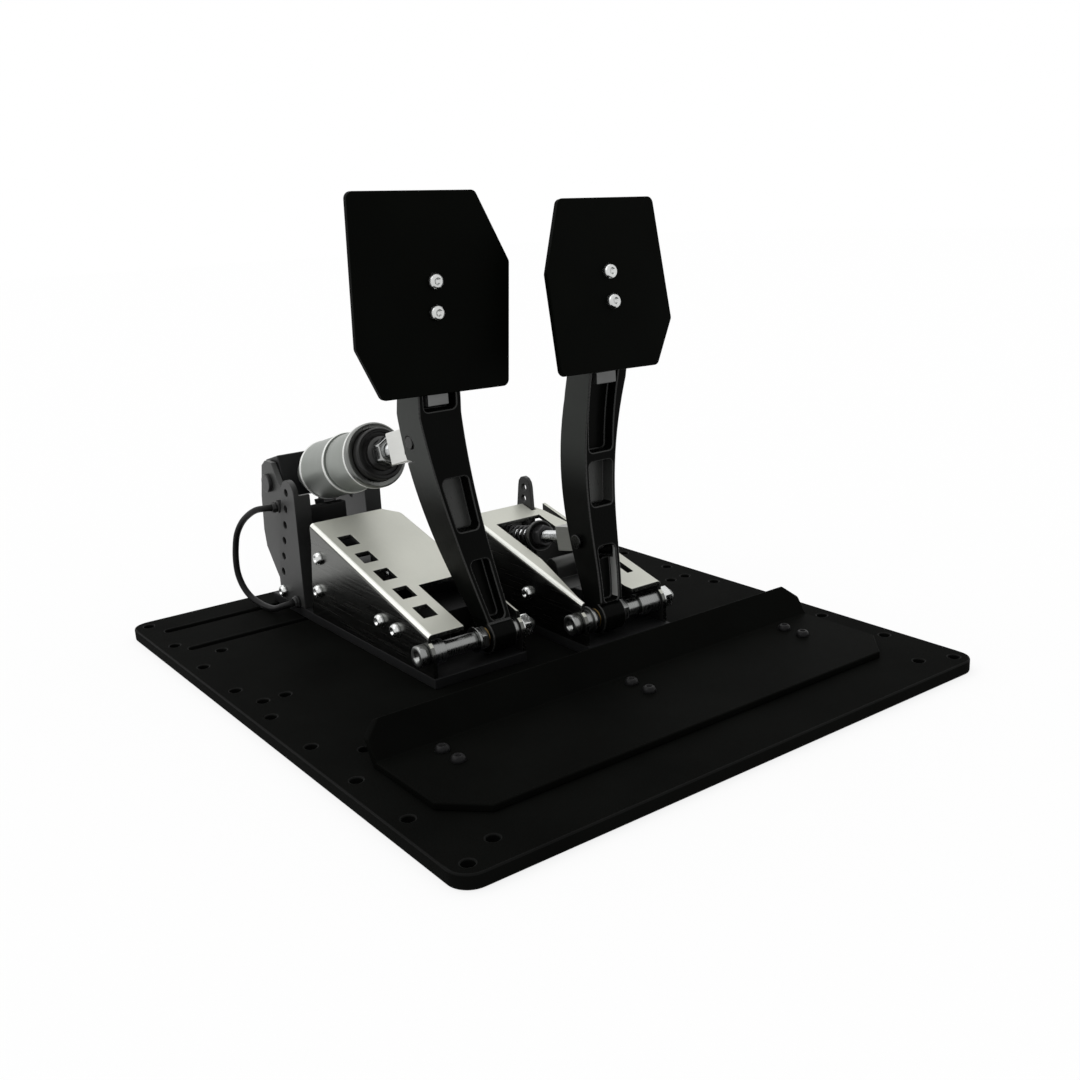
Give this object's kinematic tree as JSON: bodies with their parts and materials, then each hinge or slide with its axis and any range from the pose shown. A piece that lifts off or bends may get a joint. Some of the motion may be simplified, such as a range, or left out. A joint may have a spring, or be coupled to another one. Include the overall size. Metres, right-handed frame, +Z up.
{
  "type": "sim racing pedal set",
  "caption": "Sim racing pedal set on a drilled base plate: a hydraulic brake with an angled cylinder, a sprung throttle, folded steel frames and a heel rest with a raised lip.",
  "frame": {"origin": "centre of the base plate's underside", "axes": "+X to the driver's right, +Y away from the driver, +Z up"},
  "size_m": [0.366, 0.42, 0.288],
  "materials": {
    "plate_black": "satin powder coat",
    "heel_black": "satin powder coat",
    "screw_black": "blackened steel",
    "slab_black": "satin",
    "stainless": "satin folded sheet",
    "bright_steel": "turned, bright",
    "plain_aluminium": "milled",
    "pale_aluminium": "milled, pale",
    "silver_aluminium": "turned, satin",
    "grey_sheet": "satin",
    "arm_black": "satin over milled aluminium",
    "face_black": "satin",
    "block_black": "black anodised",
    "black_plastic": "moulded",
    "lead_black": "sheathed lead",
    "buffer_rubber": "moulded elastomer",
    "bush_bronze": "plain bush",
    "spring_black": "black spring steel"
  },
  "bodies": {
    "base": {"base_plate": "plate_black", "heel_rest": "heel_black", "heel_screws": "screw_black", "brake_base": "slab_black", "brake_frame": "stainless", "brake_front_bar": "plain_aluminium", "brake_rear_bar": "grey_sheet", "brake_cross_bar": "plain_aluminium", "side_screws": "bright_steel", "axles": "bright_steel", "axle_nuts": "bright_steel", "brake_spacers": "bright_steel", "throttle_spacers": "bright_steel", "brake_upright_left": "grey_sheet", "brake_upright_right": "grey_sheet", "brake_cheek_left": "grey_sheet", "brake_cheek_right": "grey_sheet", "brake_pivot_pin": "bright_steel", "lead_glands": "black_plastic", "sensor_lead": "lead_black", "sensor_box": "black_plastic", "frame_bolts": "screw_black", "slot_nuts": "screw_black", "throttle_base": "slab_black", "throttle_frame": "stainless", "throttle_front_bar": "plain_aluminium", "throttle_guide_bracket": "grey_sheet", "throttle_rear_tab": "grey_sheet", "throttle_sensor": "black_plastic"},
    "brake_pedal": {"brake_arm": "arm_black", "brake_bush": "bush_bronze", "brake_face": "face_black", "brake_face_screws": "bright_steel", "brake_face_block": "plain_aluminium", "brake_clevis_pin": "bright_steel"},
    "brake_cylinder": {"brake_barrel": "silver_aluminium", "brake_front_ring": "silver_aluminium", "brake_sleeve": "silver_aluminium", "brake_pivot_block": "block_black", "brake_rubber": "buffer_rubber", "pressure_sensor": "bright_steel"},
    "brake_push_rod": {"brake_piston": "block_black", "brake_rod": "bright_steel", "brake_lock_nut": "bright_steel", "brake_clevis": "pale_aluminium"},
    "throttle_pedal": {"throttle_arm": "arm_black", "throttle_bush": "bush_bronze", "throttle_face": "face_black", "throttle_face_screws": "bright_steel", "throttle_face_block": "plain_aluminium", "throttle_clevis_pin": "bright_steel"},
    "throttle_swivel": {"throttle_guide": "plain_aluminium", "throttle_spring": "spring_black"},
    "throttle_push_rod": {"throttle_rod": "bright_steel", "throttle_collar": "block_black", "throttle_lock_nut": "bright_steel", "throttle_clevis": "pale_aluminium"}
  },
  "joints": [
    {"name": "brake_press", "type": "hinge", "parent": "base", "child": "brake_pedal", "pos_m": [-0.051, -0.022, 0.0273], "axis": [-1, 0, 0], "range_deg": [0, 8], "stiffness_Nm_per_rad": 60, "springref_deg": -4.58},
    {"name": "brake_cylinder_swing", "type": "hinge", "parent": "base", "child": "brake_cylinder", "pos_m": [-0.05, 0.18597, 0.09569], "axis": [1, 0, 0], "range_deg": [0, 0.47]},
    {"name": "brake_rod_slide", "type": "slide", "parent": "brake_cylinder", "child": "brake_push_rod", "axis": [0, 0.9613, -0.2756], "range_m": [0, 0.0173], "deforming": ["brake_rubber"]},
    {"name": "throttle_press", "type": "hinge", "parent": "base", "child": "throttle_pedal", "pos_m": [0.0465, -0.042, 0.0273], "axis": [-1, 0, 0], "range_deg": [0, 14], "stiffness_Nm_per_rad": 12, "springref_deg": -8.59},
    {"name": "throttle_guide_swing", "type": "hinge", "parent": "base", "child": "throttle_swivel", "pos_m": [0.0397, 0.07002, 0.05657], "axis": [1, 0, 0], "range_deg": [0, 2.05]},
    {"name": "throttle_rod_slide", "type": "slide", "parent": "throttle_swivel", "child": "throttle_push_rod", "axis": [0, 0.9848, -0.1736], "range_m": [0, 0.0116], "deforming": ["throttle_spring"]}
  ],
  "couplings": [
    {"joint": "brake_cylinder_swing", "follows": "brake_press", "ratio": 0.056241},
    {"joint": "brake_rod_slide", "follows": "brake_press", "m_per_rad": 0.12259},
    {"joint": "throttle_guide_swing", "follows": "throttle_press", "ratio": 0.14244},
    {"joint": "throttle_rod_slide", "follows": "throttle_press", "m_per_rad": 0.04692}
  ]
}
